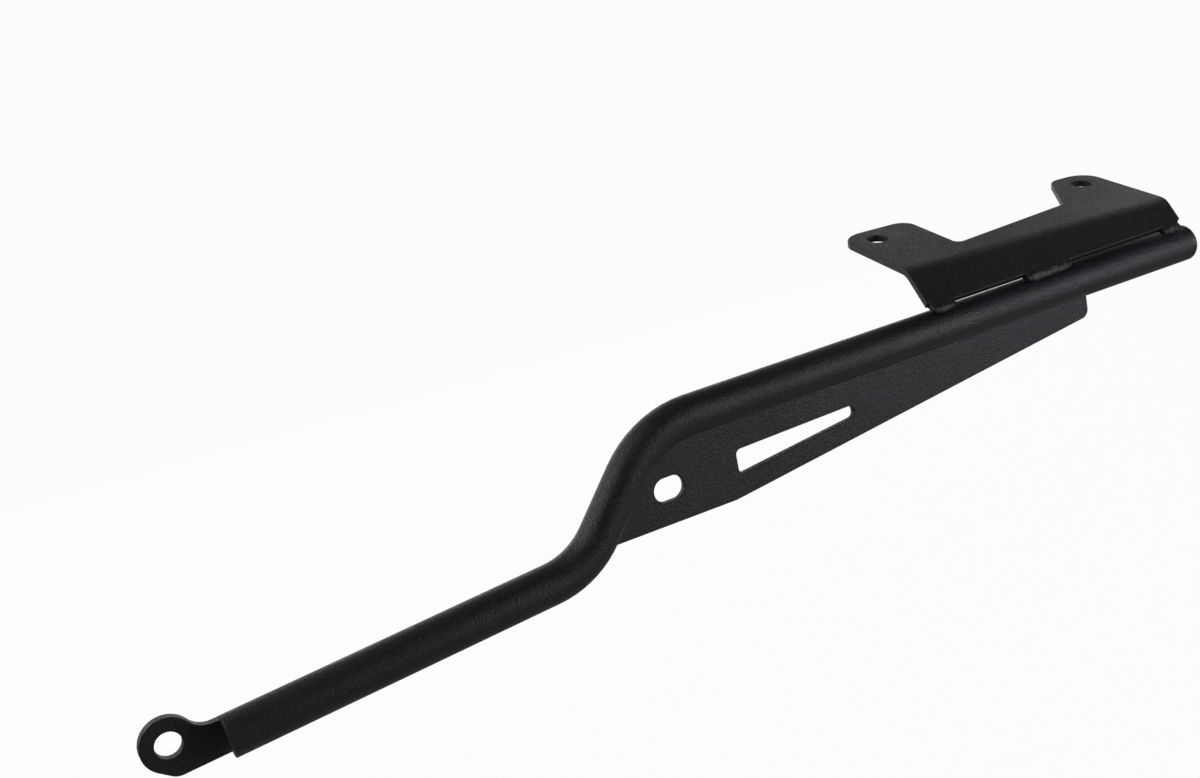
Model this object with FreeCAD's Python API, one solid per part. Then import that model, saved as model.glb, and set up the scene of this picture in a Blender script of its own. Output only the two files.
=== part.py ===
import FreeCAD, Part
import math
import os

# Welded steel support arm of a motorcycle top case, left side.
# Millimetres, +Z up, +X to the rear, +Y towards the middle of the bike.
# The origin is the middle of the bore of the front eye.

# Bent tube
tube_od = 16.0
tube_wall = 2.0
lower_run = 143.0           # front end face to the corner of the lower bend
middle_run = 58.0           # between the corners of the two bends
upper_run = 276.3           # corner of the upper bend to the rear end of the steel
lower_rise = 4.5            # degrees, climb of the lower run towards the rear
middle_rise = 50.3          # degrees, climb of the middle run
lower_bend_r = 33.0         # at the centreline
upper_bend_r = 40.0

# Tube ends
cap_thickness = 1.5         # welded disc on the front end, part of the lower run
cap_rim_r = 0.4
plug_head = 3.0             # domed plug in the rear end
plug_rim_r = 1.8
plug_length = 14.0
plug_clearance = 0.1

# Eye tab, flat against the inner side of the lower run
tab_thickness = 4.0
eye_hole_d = 10.0
eye_rim = 5.3               # steel around the hole
eye_reach = 18.5            # eye ahead of the tube's end face
eye_lift = 2.7              # eye above the centreline of the lower run
tab_lap = 32.0              # length lying beside the tube
tab_above = 3.5             # top edge above the centreline
tab_below = 9.8             # bottom edge below the centreline
tab_neck_r = 9.0            # hollow curve from the eye to the top edge
tab_chin_slope = 40.0       # degrees, slanted edge under the eye
tab_chin_r = 6.0
tab_tail_r = 3.0            # upper corner at the tail
tab_heel_r = 8.0            # lower corner at the tail

# Gusset plate, flat against the inner side of the bend; places from the corner of the upper bend
gusset_thickness = 3.0
gusset_lap = 1.0            # top edge above the centreline
gusset_front = 24.5         # front edge ahead of the corner
gusset_drop = 43.8          # bottom edge below the upper run's centreline
gusset_flat_end = 37.2      # where the bottom edge starts to climb
gusset_rear = 226.8
gusset_tail_drop = 20.6
gusset_tail_r = 4.0
gusset_knee_r = 6.0
gusset_slot_x = 8.6
gusset_slot_drop = 29.3
gusset_slot_width = 10.0
gusset_slot_length = 13.6
window_front = 40.5
window_rear = 98.2
window_front_drop = 23.6    # top edge at the front
window_rear_drop = 22.3     # top edge at the rear
window_front_height = 10.4
window_rear_height = 5.2
window_r = 2.3

# Case bracket, one folded sheet
sheet = 3.0
fold_inner_r = 9.0
leg_lean = 41.3             # degrees, leg's slope above the horizontal
leg_offset = 7.9            # tube's centreline to the leg's inner face
leg_height = 24.9           # nearest point to the centreline up to the fold, at the front
leg_end = 5.9               # leg's lower corners above the nearest point
front_relief_end = 4.6      # and the edges between its feet
rear_relief_end = 4.4
foot_end = 2.2              # feet stop this far above the nearest point
leg_front_flare = 2.7       # leg's front edge runs forward on its way down to its feet
leg_rear_taper = 3.2        # leg's rear edge runs forward too
foot_inset = 1.6            # front and rear feet start inside the leg's edges
front_foot = 11.4           # lengths along the upper run
front_relief = 38.0
middle_foot = 25.0
rear_foot = 10.0
bracket_overhang = 0.95     # rear end of the fold behind the tube's steel
flange_lean = 8.6           # degrees, flange rises inwards
flange_fall = 1.45          # degrees, flange falls to the rear
case_slot_spacing = 115.6
case_slot_width = 8.5
case_slot_length = 10.0
case_slot_edge = 12.6       # slot to the outer edge of its ear
case_slot_end = 13.0        # slot to the end of its ear
ear_skew = 3.2              # degrees, ears lean to the rear
front_ear_width = 36.3
front_ear_reach = 55.4
front_ear_corner_r = 12.0
front_ear_inner_r = 7.0
web_front = 14.0            # sheet left behind the notch, at its front
web_rear = 25.0             # and at its rear
notch_front_r = 3.0
notch_rear_r = 4.0
rear_ear_root = 38.4
rear_ear_tip = 20.8
rear_ear_reach = 56.6
rear_ear_front_r = 8.0
rear_ear_rear_r = 10.0

# Weld beads
bracket_bead_r = 1.7
bracket_bead_out = 1.0      # bead's centre beyond the tube's surface
bracket_bead_down = 0.5     # bead's centre below the end of the foot
bead_margin = 0.5           # bead stops short of its foot's sides
gusset_bead_r = 2.3
gusset_bead_in = 0.4        # bead's centre beyond the tube's surface
gusset_bead_up = 0.6        # bead's centre above the plate's edge
front_bead_overrun = 7.0    # bead runs past the plate's front edge
front_bead_end = 9.0        # places along the upper run, from the corner
middle_bead_start = 71.0
middle_bead_length = 40.0
rear_bead_length = 34.0
rear_bead_inset = 5.0
tab_bead_r = 3.0
tab_bead_in = 0.6           # bead's centre beyond the tube's surface
tab_bead_down = 1.1         # bead's centre below the tab's top edge
tab_bead_inset = 2.5        # bead starts behind the tube's end face

# Derived places
tube_r = tube_od / 2
bore_r = tube_r - tube_wall
eye_r = eye_hole_d / 2 + eye_rim
tube_y = -tab_thickness / 2 - tube_r
plate_y = tube_y + tube_r
across = FreeCAD.Vector(0, 1, 0)
past = 2                    # cutters run past the piece by this factor


def along(degrees):
    """Unit vector in the plane of the bends, climbing to the rear."""
    angle = math.radians(degrees)
    return FreeCAD.Vector(math.cos(angle), 0, math.sin(angle))


def above(degrees):
    """Unit vector square to along(degrees), pointing up."""
    angle = math.radians(degrees)
    return FreeCAD.Vector(-math.sin(angle), 0, math.cos(angle))


lower_axis = along(lower_rise)
middle_axis = along(middle_rise)
upper_axis = along(0)
tube_plane = across * tube_y
front_face = lower_axis * eye_reach - above(lower_rise) * eye_lift + tube_plane
steel_front = front_face + lower_axis * cap_thickness
lower_corner = front_face + lower_axis * lower_run
upper_corner = lower_corner + middle_axis * middle_run
steel_rear = upper_corner + upper_axis * upper_run


def rounded(corners, place, closed=True):
    """Wire through corners (a, b, radius); place turns (a, b) into a point."""
    points = [FreeCAD.Vector(a, b, 0) for a, b, radius in corners]
    last = len(points) - 1
    edges = []
    previous = None
    first = None
    for i, (a, b, radius) in enumerate(corners):
        at = points[i]
        if radius == 0 or (not closed and i in (0, last)):
            start = end = at
        else:
            before = (points[i - 1] - at).normalize()
            after = (points[(i + 1) % len(points)] - at).normalize()
            half = before.getAngle(after) / 2
            reach = radius / math.tan(half)
            start = at + before * reach
            end = at + after * reach
            middle = at + (before + after).normalize() * (radius / math.sin(half) - radius)
        join(edges, previous, start, place)
        if start != end:
            edges.append(Part.Arc(put(start, place), put(middle, place), put(end, place)).toShape())
        previous = end
        first = first or start
    if closed:
        join(edges, previous, first, place)
    return Part.Wire(edges)


def put(point, place):
    return place(point.x, point.y)


def join(edges, start, end, place):
    """Add a straight edge, unless two arcs already meet there."""
    if start is not None and start.distanceToPoint(end) > 1e-6:
        edges.append(Part.makeLine(put(start, place), put(end, place)))


def plate(wire, direction):
    return Part.Face(wire).extrude(direction)


def slot_corners(length, width):
    """Round-ended slot about its centre, long along the first axis."""
    a = length / 2
    b = width / 2
    return [(-a, -b, b), (a, -b, b), (a, b, b), (-a, b, b)]


def turned(corners, at, axis):
    """Solid of revolution from corners (distance from axis, distance along it, radius)."""
    side = across if abs(axis.y) < 0.5 else FreeCAD.Vector(1, 0, 0)
    wire = rounded(corners, lambda a, b: at + side * a + axis * b)
    return Part.Face(wire).revolve(at, axis, 360)


def tube_path(start, end):
    """Centreline of the tube between two points on its end runs."""
    stops = [(start, 0), (lower_corner, lower_bend_r), (upper_corner, upper_bend_r), (end, 0)]
    corners = [(point.x, point.z, radius) for point, radius in stops]
    return rounded(corners, lambda a, b: FreeCAD.Vector(a, tube_y, b), closed=False)


def pipe(path, radius):
    """Round bar along a path of lines and arcs."""
    edge = path.OrderedEdges[0]
    tangent = edge.tangentAt(edge.FirstParameter)
    circle = Part.Wire(Part.makeCircle(radius, edge.valueAt(edge.FirstParameter), tangent))
    return path.makePipe(Part.Face(circle))


def main_tube():
    path = tube_path(steel_front, steel_rear)
    return pipe(path, tube_r).cut(pipe(path, bore_r))


def front_end_cap():
    corners = [(0, 0, 0), (tube_r, 0, 0), (tube_r, cap_thickness, cap_rim_r), (0, cap_thickness, 0)]
    return turned(corners, steel_front, -lower_axis)


def rear_end_plug():
    spigot_r = bore_r - plug_clearance
    corners = [
        (0, -plug_length, 0),
        (spigot_r, -plug_length, 0),
        (spigot_r, 0, 0),
        (tube_r, 0, 0),
        (tube_r, plug_head, plug_rim_r),
        (0, plug_head, 0),
    ]
    return turned(corners, steel_rear, upper_axis)


def tab_blank(level, depth):
    """Outline of the eye tab from one level inwards, in axes along and above the lower run."""

    def place(a, b):
        return across * level + lower_axis * a + above(lower_rise) * b

    def on_circle(radius, angle, a=0, b=0):
        return place(a + radius * math.cos(angle), b + radius * math.sin(angle))

    top = tab_above - eye_lift
    bottom = -tab_below - eye_lift
    tail = eye_reach + tab_lap
    slope = math.radians(tab_chin_slope)
    chin_angle = -math.pi / 2 - slope
    touch_a = eye_r * math.cos(chin_angle)
    touch_b = eye_r * math.sin(chin_angle)
    chin_a = touch_a + (touch_b - bottom) / math.tan(slope)
    neck_b = top + tab_neck_r
    neck_a = math.sqrt((eye_r + tab_neck_r) ** 2 - neck_b ** 2)
    neck_angle = math.atan2(neck_b, neck_a)
    neck_middle = (neck_angle + 2.5 * math.pi) / 2
    eye_middle = (neck_angle + chin_angle + 2 * math.pi) / 2

    body = [
        (neck_a, top, 0),
        (tail, top, tab_tail_r),
        (tail, bottom, tab_heel_r),
        (chin_a, bottom, tab_chin_r),
        (touch_a, touch_b, 0),
    ]
    neck_start = on_circle(eye_r, neck_angle)
    eye_arc = Part.Arc(on_circle(eye_r, chin_angle), on_circle(eye_r, eye_middle), neck_start)
    neck_arc = Part.Arc(neck_start, on_circle(tab_neck_r, neck_middle, neck_a, neck_b), place(neck_a, top))
    edges = rounded(body, place, closed=False).OrderedEdges + [eye_arc.toShape(), neck_arc.toShape()]
    return plate(Part.Wire(edges), across * depth)


def frame_eye_tab():
    hole = Part.makeCylinder(eye_hole_d / 2, tab_thickness, across * plate_y, across)
    return tab_blank(plate_y, tab_thickness).cut(hole)


def gusset_place(a, b, level):
    """Point a behind and b above the corner of the upper bend."""
    return FreeCAD.Vector(upper_corner.x + a, level, upper_corner.z + b)


def over_corner(offset):
    """How far forward the corner of a line moves when it runs outside the upper bend."""
    return -offset * math.tan(math.radians(middle_rise) / 2)


def beside_middle_run(a, offset):
    """Height of a line that runs outside the middle run, at a place along the upper run."""
    return offset + (a - over_corner(offset)) * math.tan(math.radians(middle_rise))


def gusset_blank(level, depth):
    """Outline of the gusset from one level inwards; its upper edge follows the tube."""
    outline = [
        (-gusset_front, -gusset_drop, 0),
        (-gusset_front, beside_middle_run(-gusset_front, gusset_lap), 0),
        (over_corner(gusset_lap), gusset_lap, upper_bend_r + gusset_lap),
        (gusset_rear, gusset_lap, 0),
        (gusset_rear, -gusset_tail_drop, gusset_tail_r),
        (gusset_flat_end, -gusset_drop, gusset_knee_r),
    ]
    return plate(rounded(outline, lambda a, b: gusset_place(a, b, level)), across * depth)


def gusset_plate():
    window = [
        (window_front, -window_front_drop, window_r),
        (window_rear, -window_rear_drop, window_r),
        (window_rear, -window_rear_drop - window_rear_height, window_r),
        (window_front, -window_front_drop - window_front_height, window_r),
    ]
    slot = slot_corners(gusset_slot_length, gusset_slot_width)
    slot = [(a + gusset_slot_x, b - gusset_slot_drop, radius) for a, b, radius in slot]
    through = across * gusset_thickness
    holes = [plate(rounded(hole, lambda a, b: gusset_place(a, b, plate_y)), through) for hole in (window, slot)]
    return gusset_blank(plate_y, gusset_thickness).cut(holes)


# Directions of the bracket: its leg's face and rise, its flange's face, its fold line and its ears
lean = math.radians(leg_lean)
leg_face = FreeCAD.Vector(0, -math.sin(lean), math.cos(lean))
leg_rise = FreeCAD.Vector(0, math.cos(lean), math.sin(lean))
flange_face = FreeCAD.Vector(
    math.tan(math.radians(flange_fall)), -math.tan(math.radians(flange_lean)), 1).normalize()
fold_line = flange_face.cross(leg_face).normalize()
flange_in = flange_face.cross(fold_line)
fold_angle = leg_face.getAngle(flange_face)
ear_angle = math.radians(ear_skew)
ear_in = flange_in * math.cos(ear_angle) + fold_line * math.sin(ear_angle)
ear_along = fold_line * math.cos(ear_angle) - flange_in * math.sin(ear_angle)
bracket_length = case_slot_spacing + 2 * case_slot_edge
rear_fold_x = upper_run + bracket_overhang
fold_x = rear_fold_x - bracket_length * fold_line.x


def leg_place(x, rise, out):
    """Point of the leg: x from the upper bend's corner, rise up the leg, out from the centreline."""
    return upper_corner + upper_axis * x + leg_rise * rise + leg_face * out


fold_front = leg_place(fold_x, leg_height, leg_offset + sheet)


def flange_place(a, b):
    """Point on the flange's top: a along the fold, b inwards."""
    return fold_front + fold_line * a + flange_in * b


def flange_axes(point):
    """The (a, b) of flange_place for any point, seen square to the flange."""
    step = point - fold_front
    return step.dot(fold_line), step.dot(flange_in)


def leaning(a, b):
    """The (a, b) of flange_place for a point given along the ears' lean."""
    return a + b * math.tan(ear_angle), b


def folded_sheet():
    """Leg and flange without their outline: one bent strip along the fold."""
    strip = front_ear_reach + rear_ear_reach
    length = past * leg_height
    inset = sheet * math.tan(fold_angle / 2)
    down = (-length * math.cos(fold_angle), -length * math.sin(fold_angle))
    inner = (down[0] + sheet * math.sin(fold_angle), down[1] - sheet * math.cos(fold_angle))
    section = [
        (strip, 0, 0),
        (0, 0, fold_inner_r + sheet),
        (*down, 0),
        (*inner, 0),
        (inset, -sheet, fold_inner_r),
        (strip, -sheet, 0),
    ]
    begin = fold_front - fold_line * bracket_length
    wire = rounded(section, lambda a, b: begin + flange_in * a + flange_face * b)
    return plate(wire, fold_line * bracket_length * (past + 1))


def case_slot_places():
    front = (case_slot_edge, front_ear_reach - case_slot_end)
    rear = (case_slot_edge + case_slot_spacing, rear_ear_reach - case_slot_end)
    return [front, rear]


def through_flange(wire):
    """Cutter through the flange and down past the feet of the leg."""
    deep = past * leg_height
    tool = plate(wire, flange_face * (deep + sheet))
    tool.translate(flange_face * -deep)
    return tool


def bracket_outline():
    """Plan of the bracket, seen square to the flange."""
    rear = bracket_length
    front_foot_a, front_foot_b = flange_axes(leg_place(fold_x - leg_front_flare, foot_end, leg_offset + sheet))
    rear_foot_a, rear_foot_b = flange_axes(leg_place(rear_fold_x - leg_rear_taper, foot_end, leg_offset + sheet))
    ears = [
        (0, 0, 0),
        (0, front_ear_reach, front_ear_corner_r),
        (front_ear_width, front_ear_reach, front_ear_inner_r),
        (front_ear_width, web_front, notch_front_r),
        (rear - rear_ear_root, web_rear, notch_rear_r),
        (rear - rear_ear_tip, rear_ear_reach, rear_ear_front_r),
        (rear, rear_ear_reach, rear_ear_rear_r),
        (rear, 0, 0),
    ]
    leg = [
        (rear + (rear_foot_a - rear) * past, rear_foot_b * past, 0),
        (front_foot_a * past, front_foot_b * past, 0),
    ]
    return [(*leaning(a, b), radius) for a, b, radius in ears] + leg


def leg_cutter(start, end, top):
    """Box below a line across the leg, between two places along the upper run."""
    up = leg_rise * past * tube_od
    out = leg_face * past * sheet
    corner = leg_place(start, top, leg_offset) - up - out / past / past
    wire = Part.makePolygon([corner, corner + up, corner + up + out, corner + out, corner])
    return plate(wire, upper_axis * (end - start))


def foot_spans():
    """The three feet, as start and end along the upper run."""
    first = fold_x - leg_front_flare + foot_inset
    second = first + front_foot + front_relief
    last = rear_fold_x - leg_rear_taper - foot_inset
    return [(first, first + front_foot), (second, second + middle_foot), (last - rear_foot, last)]


def upper_bar():
    """Outside of the tube's upper run, past both ends of the bracket."""
    return Part.makeCylinder(tube_r, upper_run + bracket_length, upper_corner, upper_axis)


def case_bracket():
    blank = folded_sheet().common(through_flange(rounded(bracket_outline(), flange_place)))
    front = fold_x - bracket_length
    rear = rear_fold_x + bracket_length
    cutters = [leg_cutter(front, rear, foot_end), upper_bar()]
    edges = [leg_end, front_relief_end, rear_relief_end, leg_end]
    for edge, (start, end) in zip(edges, foot_spans() + [(rear, rear)]):
        cutters.append(leg_cutter(front, start, edge))
        front = end
    for a, b in case_slot_places():
        middle = flange_place(*leaning(a, b))
        corners = slot_corners(case_slot_length, case_slot_width)
        wire = rounded(corners, lambda c, d: middle + ear_in * c + ear_along * d)
        cutters.append(through_flange(wire))
    return blank.cut(cutters).removeSplitter()


def bead(path, radius, plate_side, tube):
    """Round-ended bead along a path, trimmed to the plate's edge and the tube's outside."""
    ends = [path.OrderedVertexes[0].Point, path.OrderedVertexes[-1].Point]
    whole = pipe(path, radius).fuse([Part.makeSphere(radius, point) for point in ends])
    return whole.removeSplitter().cut(plate_side).cut(tube).removeSplitter()


def bracket_beads(tube):
    """One bead at the end of each foot, on the outer side."""
    rise = foot_end - bracket_bead_down
    out = tube_r + bracket_bead_out
    inset = bead_margin + bracket_bead_r
    beads = []
    for start, end in foot_spans():
        path = Part.Wire(Part.makeLine(leg_place(start + inset, rise, out), leg_place(end - inset, rise, out)))
        beads.append(bead(path, bracket_bead_r, leg_side(start, end), tube))
    return beads


def leg_side(start, end):
    """The leg above the end of its feet, filled in as far as the tube's centreline."""
    corner = leg_place(start, foot_end, 0)
    out = leg_face * (leg_offset + sheet)
    up = leg_rise * leg_height
    wire = Part.makePolygon([corner, corner + up, corner + up + out, corner + out, corner])
    return plate(wire, upper_axis * (end - start))


def gusset_beads(tube):
    """Beads along the plate's upper edge: over the bend, and two on the upper run."""
    offset = gusset_lap + gusset_bead_up
    level = plate_y + gusset_bead_in
    radius = upper_bend_r + offset
    rise = math.radians(middle_rise)
    centre_a = upper_bend_r * math.tan(rise / 2)
    stop = math.asin((centre_a - front_bead_end) / radius)
    start_a = -gusset_front - front_bead_overrun * math.cos(rise)

    def on_bend(angle):
        return gusset_place(centre_a - radius * math.sin(angle), radius * math.cos(angle) - upper_bend_r, level)

    foot = gusset_place(start_a, beside_middle_run(start_a, offset), level)
    bend = Part.Arc(on_bend(rise), on_bend((rise + stop) / 2), on_bend(stop)).toShape()
    paths = [Part.Wire([Part.makeLine(foot, on_bend(rise)), bend])]
    rear_bead_start = gusset_rear - rear_bead_inset - rear_bead_length
    for start, length in [(middle_bead_start, middle_bead_length), (rear_bead_start, rear_bead_length)]:
        ends = [gusset_place(a, offset, level) for a in (start, start + length)]
        paths.append(Part.Wire(Part.makeLine(*ends)))
    plate_side = gusset_blank(tube_y, tube_r + gusset_thickness)
    return [bead(path, gusset_bead_r, plate_side, tube) for path in paths]


def tab_bead(tube):
    """Bead in the valley between the tube and the tab's top edge."""
    level = across * (plate_y + tab_bead_in) + above(lower_rise) * (tab_above - eye_lift - tab_bead_down)
    start = level + lower_axis * (eye_reach + tab_bead_inset + tab_bead_r)
    end = level + lower_axis * (eye_reach + tab_lap - tab_tail_r)
    path = Part.Wire(Part.makeLine(start, end))
    return bead(path, tab_bead_r, tab_blank(tube_y, tube_r + tab_thickness), tube)


def main():
    tube = main_tube()
    solid_tube = pipe(tube_path(steel_front, steel_rear), tube_r)
    nodes = {
        "main_tube": tube,
        "front_end_cap": front_end_cap(),
        "rear_end_plug": rear_end_plug(),
        "frame_eye_tab": frame_eye_tab(),
        "gusset_plate": gusset_plate(),
        "case_bracket": case_bracket(),
        "tab_weld": tab_bead(solid_tube),
    }
    for place, shape in zip(("front", "middle", "rear"), bracket_beads(solid_tube)):
        nodes["bracket_weld_" + place] = shape
    for place, shape in zip(("front", "middle", "rear"), gusset_beads(solid_tube)):
        nodes["gusset_weld_" + place] = shape
    os.makedirs("parts", exist_ok=True)
    for name, shape in nodes.items():
        shape.exportStep("parts/" + name + ".step")
        print(name, len(shape.Solids), "solid", round(shape.Volume, 1), "mm3", shape.isValid())


main()
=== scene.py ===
import bpy
import bmesh
import math
import random
from mathutils import Matrix, Vector


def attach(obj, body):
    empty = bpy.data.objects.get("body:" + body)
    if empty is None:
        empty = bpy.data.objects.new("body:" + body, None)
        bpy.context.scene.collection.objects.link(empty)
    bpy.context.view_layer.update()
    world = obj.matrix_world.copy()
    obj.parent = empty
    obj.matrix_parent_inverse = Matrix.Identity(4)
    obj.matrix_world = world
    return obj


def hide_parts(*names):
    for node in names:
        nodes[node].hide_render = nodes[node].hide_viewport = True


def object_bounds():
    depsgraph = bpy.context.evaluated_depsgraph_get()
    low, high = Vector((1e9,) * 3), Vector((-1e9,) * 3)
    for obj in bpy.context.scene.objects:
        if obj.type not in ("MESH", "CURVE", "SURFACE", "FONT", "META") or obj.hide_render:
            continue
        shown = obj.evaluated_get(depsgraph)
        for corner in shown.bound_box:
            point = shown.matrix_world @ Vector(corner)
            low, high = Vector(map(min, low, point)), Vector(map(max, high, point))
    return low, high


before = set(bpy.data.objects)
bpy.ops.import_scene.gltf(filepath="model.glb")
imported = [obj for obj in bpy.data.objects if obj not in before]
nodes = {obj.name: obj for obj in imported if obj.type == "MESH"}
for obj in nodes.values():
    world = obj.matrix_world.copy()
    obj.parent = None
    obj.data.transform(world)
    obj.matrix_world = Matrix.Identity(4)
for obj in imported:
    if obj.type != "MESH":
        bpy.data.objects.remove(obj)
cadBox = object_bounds()
mm = 0.001


def toLinear(hexColour):
    # sRGB hex such as "1c1c1e" to linear RGBA
    parts = [int(hexColour[i:i + 2], 16) / 255 for i in (0, 2, 4)]
    linear = [c / 12.92 if c <= 0.04045 else ((c + 0.055) / 1.055) ** 2.4 for c in parts]
    return (*linear, 1.0)


def addNode(tree, kind, settings=None, inputs=None, links=None):
    # one node with its settings, socket values and incoming links
    node = tree.nodes.new(kind)
    for name, value in (settings or {}).items():
        setattr(node, name, value)
    for name, value in (inputs or {}).items():
        node.inputs[name].default_value = value
    for name, source in (links or {}).items():
        tree.links.new(source, node.inputs[name])
    return node


def newMaterial(name):
    material = bpy.data.materials.new(name)
    material.use_nodes = True
    material.node_tree.nodes.clear()
    return material


# Black polyester powder coat with a fine texture, sprayed and baked on steel.
# The eye sees a dry black skin: tiny even grain, broad soft sheen, no mirror image.
powderCoat = {
    "name": "texturedPowderCoat",
    "dark": "060607",
    "light": "1a1a22",
    "grain": 0.8,           # mm, real grain is about 0.3 and wouldn't show
    "drift": 30.0,          # mm, slow change of film thickness
    "bump": 0.7,
    "roughLow": 0.42,
    "roughHigh": 0.5,
    "speckle": 0.8,         # how far the grain breaks up the sheen
    "gloss": 0.33,
}

# The same coat over the ripples of a weld, smoother and duller.
weldCoat = {
    "name": "powderCoatOnWeld",
    "dark": "060607",
    "light": "16161a",
    "grain": 0.8,
    "drift": 4.0,
    "bump": 0.25,
    "roughLow": 0.42,
    "roughHigh": 0.54,
    "speckle": 0.3,
    "gloss": 0.25,
}

# Injection moulded polyethylene: an even black with a faint mould texture.
plugPlastic = {
    "name": "mouldedPolyethylene",
    "dark": "0a0a0b",
    "light": "18181b",
    "grain": 0.9,
    "drift": 8.0,
    "bump": 0.15,
    "roughLow": 0.42,
    "roughHigh": 0.52,
    "speckle": 0.15,
    "gloss": 0.3,
}

# What the three finishes share
coatPattern = {
    "grainDetail": 3.0,
    "grainRough": 0.6,
    "grainMiddle": 0.5,
    "driftDetail": 2.0,
    "darkUpTo": 0.3,        # grain values of the two colours
    "lightFrom": 0.72,
    "driftLow": 0.3,        # drift values of the two roughnesses
    "driftHigh": 0.7,
    "depth": 0.5,           # mm, height of the grain
    "ior": 1.5,             # polyester and polyethylene alike
}


def coatMaterial(coat):
    material = newMaterial(coat["name"])
    tree = material.node_tree
    place = addNode(tree, "ShaderNodeTexCoord").outputs["Object"]
    grain = addNode(
        tree, "ShaderNodeTexNoise",
        inputs={
            "Scale": 1 / (coat["grain"] * mm),
            "Detail": coatPattern["grainDetail"],
            "Roughness": coatPattern["grainRough"],
        },
        links={"Vector": place})
    drift = addNode(
        tree, "ShaderNodeTexNoise",
        inputs={"Scale": 1 / (coat["drift"] * mm), "Detail": coatPattern["driftDetail"]},
        links={"Vector": place})
    colour = addNode(tree, "ShaderNodeValToRGB", links={"Fac": grain.outputs["Fac"]})
    stops = [("darkUpTo", "dark"), ("lightFrom", "light")]
    for stop, (position, shade) in zip(colour.color_ramp.elements, stops):
        stop.position = coatPattern[position]
        stop.color = toLinear(coat[shade])
    film = addNode(
        tree, "ShaderNodeMapRange",
        inputs={
            "From Min": coatPattern["driftLow"],
            "From Max": coatPattern["driftHigh"],
            "To Min": coat["roughLow"],
            "To Max": coat["roughHigh"],
        },
        links={"Value": drift.outputs["Fac"]})
    fleck = addNode(
        tree, "ShaderNodeMath", {"operation": "SUBTRACT"},
        inputs={1: coatPattern["grainMiddle"]},
        links={0: grain.outputs["Fac"]})
    rough = addNode(
        tree, "ShaderNodeMath", {"operation": "MULTIPLY_ADD", "use_clamp": True},
        inputs={1: coat["speckle"]},
        links={0: fleck.outputs["Value"], 2: film.outputs["Result"]})
    bump = addNode(
        tree, "ShaderNodeBump",
        inputs={"Strength": coat["bump"], "Distance": coatPattern["depth"] * mm},
        links={"Height": grain.outputs["Fac"]})
    shader = addNode(
        tree, "ShaderNodeBsdfPrincipled",
        inputs={"IOR": coatPattern["ior"], "Specular IOR Level": coat["gloss"]},
        links={
            "Base Color": colour.outputs["Color"],
            "Roughness": rough.outputs["Value"],
            "Normal": bump.outputs["Normal"],
        })
    addNode(tree, "ShaderNodeOutputMaterial", links={"Surface": shader.outputs["BSDF"]})
    return material


def dress(nodeName, material):
    # a finish on a CAD node that keeps its own shape
    mesh = nodes[nodeName].data
    mesh.materials.clear()
    mesh.materials.append(material)


def addPiece(name, mesh, material, nodeName):
    # a new piece that stands for a CAD node and rides on the arm
    piece = bpy.data.objects.new(name, mesh)
    bpy.context.scene.collection.objects.link(piece)
    mesh.materials.append(material)
    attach(piece, "root")
    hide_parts(nodeName)
    return piece


coat = coatMaterial(powderCoat)
weld = coatMaterial(weldCoat)
dress("main_tube", coat)
dress("rear_end_plug", coatMaterial(plugPlastic))
print("coats done")


# Cut plates and the folded sheet, with the softened edges that deburring and the coat leave
softPlates = {
    "edge": 0.4,            # mm
    "steps": 3,             # faces across a softened edge
    "merge": 0.002,         # mm
    "flat": 0.6,            # degrees, triangles of one face
    "sharp": 35.0,          # degrees, edges that get rounded
    "faceWeight": 100,      # keeps the large faces flat in the light
    "names": {
        "frame_eye_tab": "eyeTab",
        "front_end_cap": "endDisc",
        "gusset_plate": "gussetPlate",
        "case_bracket": "foldedBracket",
    },
}


def softenPlate(nodeName, pieceName):
    mesh = bpy.data.meshes.new(pieceName)
    build = bmesh.new()
    build.from_mesh(nodes[nodeName].data)
    bmesh.ops.remove_doubles(build, verts=build.verts, dist=softPlates["merge"] * mm)
    bmesh.ops.dissolve_limit(
        build, angle_limit=math.radians(softPlates["flat"]),
        verts=build.verts, edges=build.edges)
    limit = math.radians(softPlates["sharp"])
    sharp = [
        edge for edge in build.edges
        if edge.is_manifold and edge.calc_face_angle() > limit]
    bmesh.ops.bevel(
        build, geom=sharp, offset=softPlates["edge"] * mm, offset_type="OFFSET",
        affect="EDGES", segments=softPlates["steps"], profile=0.5,
        clamp_overlap=True, material=-1)
    for face in build.faces:
        face.smooth = True
    build.to_mesh(mesh)
    build.free()
    piece = addPiece(pieceName, mesh, coat, nodeName)
    piece.modifiers.new("flatFaces", "WEIGHTED_NORMAL").weight = softPlates["faceWeight"]


for nodeName, pieceName in softPlates["names"].items():
    softenPlate(nodeName, pieceName)
print("plates done")


# Welds: overlapping flattened drops along each seam, melted into one skin. Sizes in mm.
beadLook = {
    "pitch": 2.4,
    "wander": 0.25,         # how far a drop strays across the seam
    "lift": 0.125,          # how far it strays in height
    "swell": 0.1,           # share by which drops differ in size
    "end": 0.8,             # size of the first and the last drop
    "rounds": 2,            # subdivisions of a drop
    "voxel": 0.24,
    "smooth": 8,
    "smoothShare": 0.5,
    "seed": 7,
}

# "face" is the way a bead looks, "drop" its half sizes along the seam,
# across it and standing proud, and "y" the seam's place across the arm
footSeam = {"face": (0.0, -0.964, 0.264), "drop": (3.0, 2.4, 1.15), "y": -14.33}
gussetSeam = {"face": (0.0, 0.62, 0.785), "drop": (2.6, 2.7, 1.9), "y": -1.6}
tabSeam = {"face": (-0.03, 0.40, 0.91), "drop": (2.6, 3.2, 1.8), "y": -1.6}
footHeight = 63.78
gussetHeight = 56.0

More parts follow.
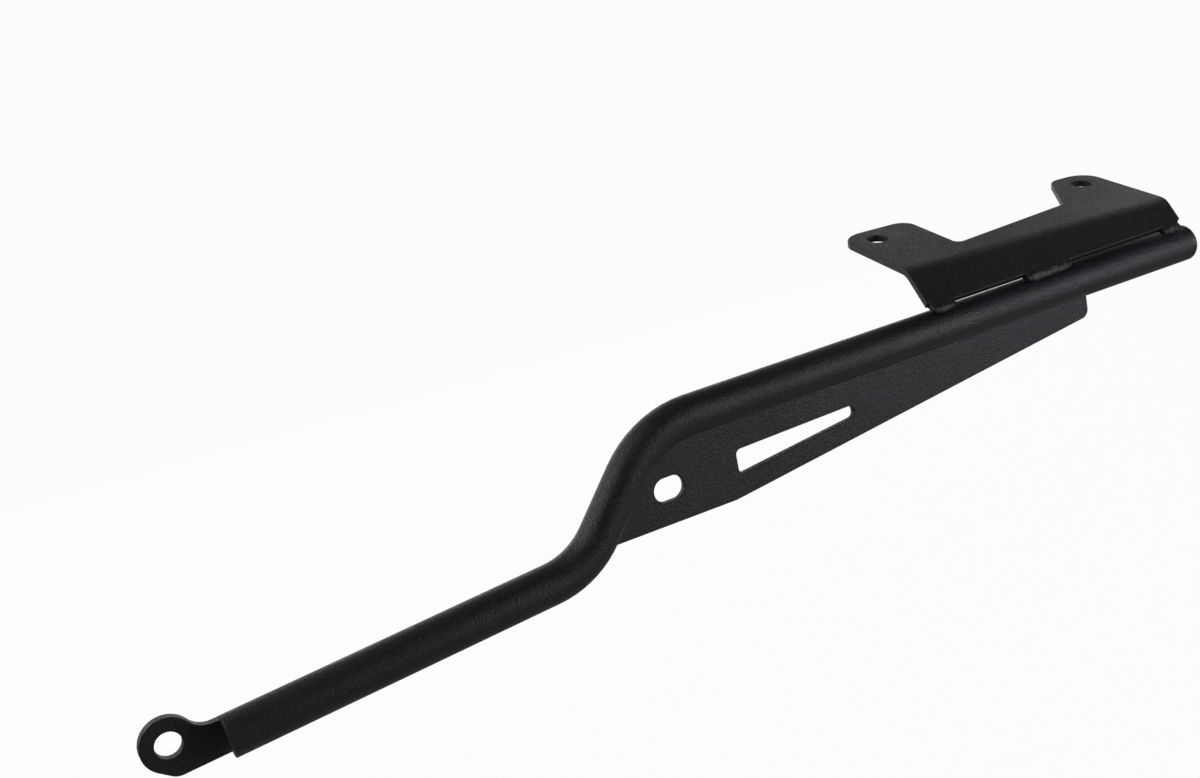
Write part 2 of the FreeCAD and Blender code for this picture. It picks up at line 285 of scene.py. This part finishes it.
# Each path is a row of X and Z
welds = {
    "bracket_weld_front": {
        "name": "footBeadFront", "seam": footSeam,
        "path": [(336.0, footHeight), (343.0, footHeight)]},
    "bracket_weld_middle": {
        "name": "footBeadMiddle", "seam": footSeam,
        "path": [(385.4, footHeight), (406.0, footHeight)]},
    "bracket_weld_rear": {
        "name": "footBeadRear", "seam": footSeam,
        "path": [(462.9, footHeight), (468.5, footHeight)]},
    "gusset_weld_front": {
        "name": "gussetBeadFront", "seam": gussetSeam,
        "path": [(169.3, 22.1), (185.0, 41.1), (191.4, 47.3), (198.8, 51.9), (207.3, 54.9)]},
    "gusset_weld_middle": {
        "name": "gussetBeadMiddle", "seam": gussetSeam,
        "path": [(268.4, gussetHeight), (310.2, gussetHeight)]},
    "gusset_weld_rear": {
        "name": "gussetBeadRear", "seam": gussetSeam,
        "path": [(385.2, gussetHeight), (421.0, gussetHeight)]},
    "tab_weld": {
        "name": "tabBead", "seam": tabSeam,
        "path": [(23.8, 2.0), (47.4, 3.9)]},
}
chance = random.Random(beadLook["seed"])


def seamStations(bead):
    # points and directions at an even pitch along a bead's path
    corners = [Vector((x, bead["seam"]["y"], z)) for x, z in bead["path"]]
    stations = []
    for start, end in zip(corners[:-1], corners[1:]):
        step = end - start
        count = max(1, round(step.length / beadLook["pitch"]))
        for i in range(count):
            stations.append((start + step * (i / count), step.normalized()))
    stations.append((corners[-1], stations[-1][1]))
    return stations


def makeBead(nodeName, bead):
    mesh = bpy.data.meshes.new(bead["name"])
    build = bmesh.new()
    stations = seamStations(bead)
    wander, lift = beadLook["wander"], beadLook["lift"]
    for i, (point, along) in enumerate(stations):
        face = Vector(bead["seam"]["face"])
        face = (face - along * face.dot(along)).normalized()
        across = face.cross(along)
        centre = point + across * chance.uniform(-wander, wander)
        centre += face * chance.uniform(-lift, lift)
        swell = 1 + chance.uniform(-1, 1) * beadLook["swell"]
        if i in (0, len(stations) - 1):
            swell *= beadLook["end"]
        turn = Matrix((along, across, face)).transposed().to_4x4()
        size = Matrix.Diagonal((*[half * swell * mm for half in bead["seam"]["drop"]], 1.0))
        bmesh.ops.create_icosphere(
            build, subdivisions=beadLook["rounds"], radius=1.0,
            matrix=Matrix.Translation(centre * mm) @ turn @ size)
    for face in build.faces:
        face.smooth = True
    build.to_mesh(mesh)
    build.free()
    piece = addPiece(bead["name"], mesh, weld, nodeName)
    melt = piece.modifiers.new("melt", "REMESH")
    melt.mode = "VOXEL"
    melt.voxel_size = beadLook["voxel"] * mm
    melt.use_smooth_shade = True
    flow = piece.modifiers.new("flow", "SMOOTH")
    flow.factor = beadLook["smoothShare"]
    flow.iterations = beadLook["smooth"]


for nodeName, bead in welds.items():
    makeBead(nodeName, bead)
print("welds done")


# Pale paper under the arm; it glows white to the camera and faintly in reflections
sweep = {
    "size": 14.0,           # m
    "drop": 160.0,          # mm below the arm
    "colour": "b4b4b4",
    "glow": 0.965,          # the rest shows the paper and its shadow
    "mirrorGlow": 0.04,
}


def whiteRays(tree):
    # camera rays, and rays in a reflection or through glass
    path = addNode(tree, "ShaderNodeLightPath")
    bounced = addNode(
        tree, "ShaderNodeMath", {"operation": "MAXIMUM"},
        links={0: path.outputs["Is Glossy Ray"], 1: path.outputs["Is Transmission Ray"]})
    return path.outputs["Is Camera Ray"], bounced.outputs["Value"]


def makeSweep():
    low = cadBox[0]
    mesh = bpy.data.meshes.new("paperSweep")
    build = bmesh.new()
    bmesh.ops.create_grid(
        build, x_segments=1, y_segments=1, size=sweep["size"] / 2,
        matrix=Matrix.Translation((0, 0, low[2] - sweep["drop"] * mm)))
    build.to_mesh(mesh)
    build.free()
    floor = bpy.data.objects.new("paperSweep", mesh)
    bpy.context.scene.collection.objects.link(floor)
    material = newMaterial("whitePaper")
    tree = material.node_tree
    paper = addNode(
        tree, "ShaderNodeBsdfDiffuse", inputs={"Color": toLinear(sweep["colour"])})
    glow = addNode(tree, "ShaderNodeEmission", inputs={"Strength": 1.0})
    seen, bounced = whiteRays(tree)
    direct = addNode(
        tree, "ShaderNodeMath", {"operation": "MULTIPLY"},
        inputs={1: sweep["glow"]},
        links={0: seen})
    share = addNode(
        tree, "ShaderNodeMath", {"operation": "MULTIPLY_ADD"},
        inputs={1: sweep["mirrorGlow"]},
        links={0: bounced, 2: direct.outputs["Value"]})
    mix = addNode(
        tree, "ShaderNodeMixShader",
        links={
            0: share.outputs["Value"],
            1: paper.outputs["BSDF"],
            2: glow.outputs["Emission"],
        })
    addNode(tree, "ShaderNodeOutputMaterial", links={"Surface": mix.outputs["Shader"]})
    mesh.materials.append(material)


makeSweep()

# Studio light: a soft box on the camera's right, and panels on the left,
# above, past the rear end and on the inner side. Metres and watts.
softBoxes = {
    "keyBox": {
        "place": (0.9, -0.78, 0.16), "size": (0.6, 0.52), "power": 6.8, "colour": "f9f8ff"},
    "leftPanel": {
        "place": (-0.8, 0.33, 0.6), "size": (0.9, 1.0), "power": 10.5, "colour": "ffffff"},
    "topPanel": {
        "place": (0.37, 0.9, 0.9), "size": (1.0, 0.6), "power": 0.7, "colour": "ffffff"},
    "rearPanel": {
        "place": (1.02, 0.4, 0.37), "size": (0.4, 0.35), "power": 0.38, "colour": "ffffff"},
    "innerPanel": {
        "place": (0.35, 1.0, 0.16), "size": (1.4, 0.5), "power": 3.2, "colour": "ffffff"},
}
aim = Vector((0.25, 0.0, 0.04))     # middle of the arm
for boxName, box in softBoxes.items():
    data = bpy.data.lights.new(boxName, "AREA")
    data.shape = "RECTANGLE"
    data.size, data.size_y = box["size"]
    data.energy = box["power"]
    data.color = toLinear(box["colour"])[:3]
    lamp = bpy.data.objects.new(boxName, data)
    lamp.location = box["place"]
    lamp.rotation_euler = (aim - lamp.location).to_track_quat("-Z", "Y").to_euler()
    bpy.context.scene.collection.objects.link(lamp)

# Dim room, white to the camera all round. Two white papers hang in it for the reflections,
# one on the inner side and one high on the left.
# A paper starts at the first value of each direction part and is whole at the second.
room = {
    "name": "studioRoom",
    "dim": 0.05,
    "white": 0.968,
    "innerPaper": {"share": 0.22, "edges": {"Y": (0.0, 0.4), "Z": (0.9, 0.0)}},
    "leftPaper": {"share": 0.3, "edges": {"X": (0.2, -0.3), "Z": (0.3, 0.7)}},
}


def hangPaper(tree, parts, paper):
    # how white the paper makes each direction
    first, second = [
        addNode(
            tree, "ShaderNodeMapRange", {"interpolation_type": "SMOOTHSTEP"},
            inputs={"From Min": start, "From Max": whole},
            links={"Value": parts.outputs[part]}).outputs["Result"]
        for part, (start, whole) in paper["edges"].items()]
    strip = addNode(
        tree, "ShaderNodeMath", {"operation": "MULTIPLY"},
        inputs={1: paper["share"]},
        links={0: first})
    sheet = addNode(
        tree, "ShaderNodeMath", {"operation": "MULTIPLY"},
        links={0: strip.outputs["Value"], 1: second})
    return sheet.outputs["Value"]


def makeRoom():
    world = bpy.data.worlds.new(room["name"])
    world.use_nodes = True
    bpy.context.scene.world = world
    tree = world.node_tree
    tree.nodes.clear()
    way = addNode(tree, "ShaderNodeTexCoord").outputs["Generated"]
    parts = addNode(tree, "ShaderNodeSeparateXYZ", links={0: way})
    seen, bounced = whiteRays(tree)
    hung = addNode(
        tree, "ShaderNodeMath", {"operation": "ADD"},
        links={
            0: hangPaper(tree, parts, room["innerPaper"]),
            1: hangPaper(tree, parts, room["leftPaper"]),
        })
    mirrored = addNode(
        tree, "ShaderNodeMath", {"operation": "MULTIPLY"},
        links={0: bounced, 1: hung.outputs["Value"]})
    white = addNode(
        tree, "ShaderNodeMath", {"operation": "MAXIMUM"},
        links={0: seen, 1: mirrored.outputs["Value"]})
    dim, bright = [
        addNode(
            tree, "ShaderNodeBackground",
            inputs={"Color": toLinear("ffffff"), "Strength": room[level]})
        for level in ("dim", "white")]
    mix = addNode(
        tree, "ShaderNodeMixShader",
        links={
            0: white.outputs["Value"],
            1: dim.outputs["Background"],
            2: bright.outputs["Background"],
        })
    addNode(tree, "ShaderNodeOutputWorld", links={"Surface": mix.outputs["Shader"]})


makeRoom()
bpy.context.scene.view_settings.view_transform = "Standard"
print("light done")

# Camera at the photograph's place
viewRig = {
    "place": (-0.039965, -0.526772, 0.231514),
    "turn": (74.1989, 11.3909, -26.5411),
    "lens": 46.957,
    "sensor": 36.0,
    "near": 0.01,
}
cameraData = bpy.data.cameras.new("productCamera")
cameraData.lens = viewRig["lens"]
cameraData.sensor_width = viewRig["sensor"]
cameraData.clip_start = viewRig["near"]
camera = bpy.data.objects.new("productCamera", cameraData)
camera.location = viewRig["place"]
camera.rotation_euler = [math.radians(angle) for angle in viewRig["turn"]]
bpy.context.scene.collection.objects.link(camera)
bpy.context.scene.camera = camera
print("camera done")
